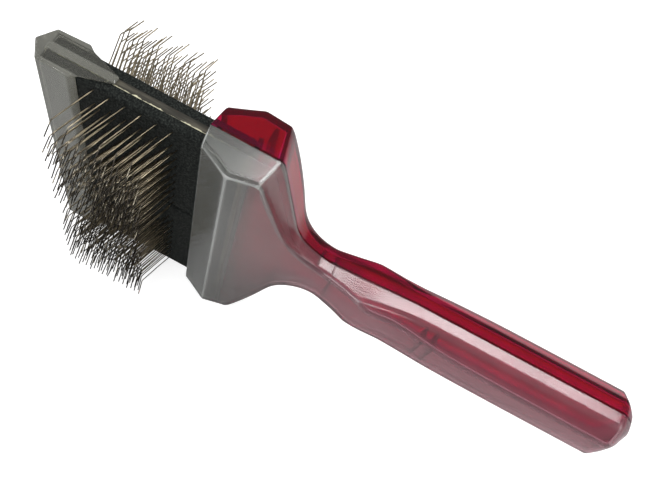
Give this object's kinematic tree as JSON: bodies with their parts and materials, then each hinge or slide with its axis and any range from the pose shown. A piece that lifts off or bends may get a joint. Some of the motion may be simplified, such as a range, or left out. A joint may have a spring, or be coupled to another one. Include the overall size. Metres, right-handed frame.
{
  "type": "slicker brush",
  "caption": "Double-sided slicker brush for mats: hollow handle of joined shells, wide rocking head with bent wire pins on both faces.",
  "frame": {"origin": "level with the head's lower narrow side, under the middle of the overall length, on the parting plane of the two shells", "axes": "+X from the head towards the handle's end, +Y towards the red rear shell, +Z across the head"},
  "size_m": [0.1826, 0.0406, 0.09],
  "materials": {
    "clear_shell": "frosted translucent clear plastic",
    "red_shell": "translucent deep red plastic",
    "cap": "frosted translucent plastic",
    "core": "translucent beige sheet with bright cut edges",
    "pad": "dark charcoal rubber-faced cloth",
    "wire": "drawn steel wire"
  },
  "bodies": {
    "handle": {"front_shell": "clear_shell", "rear_shell": "red_shell"},
    "head": {"tip_cap": "cap", "core_plate": "core", "pad_front_upper": "pad", "pad_front_lower": "pad", "pad_rear_upper": "pad", "pad_rear_lower": "pad", "front_upper_staples_1": "wire", "front_upper_staples_2": "wire", "front_upper_staples_3": "wire", "front_upper_staples_4": "wire", "front_upper_staples_5": "wire", "front_upper_staples_6": "wire", "front_lower_staples_1": "wire", "front_lower_staples_2": "wire", "front_lower_staples_3": "wire", "front_lower_staples_4": "wire", "front_lower_staples_5": "wire", "front_lower_staples_6": "wire", "rear_upper_staples_1": "wire", "rear_upper_staples_2": "wire", "rear_upper_staples_3": "wire", "rear_upper_staples_4": "wire", "rear_upper_staples_5": "wire", "rear_upper_staples_6": "wire", "rear_lower_staples_1": "wire", "rear_lower_staples_2": "wire", "rear_lower_staples_3": "wire", "rear_lower_staples_4": "wire", "rear_lower_staples_5": "wire", "rear_lower_staples_6": "wire"}
  },
  "joints": [
    {"name": "head_flex", "type": "hinge", "parent": "handle", "child": "head", "pos_m": [-0.04375, 0, 0.045], "axis": [0, 0, 1], "range_deg": [-8, 8], "stiffness_Nm_per_rad": 1.2}
  ]
}
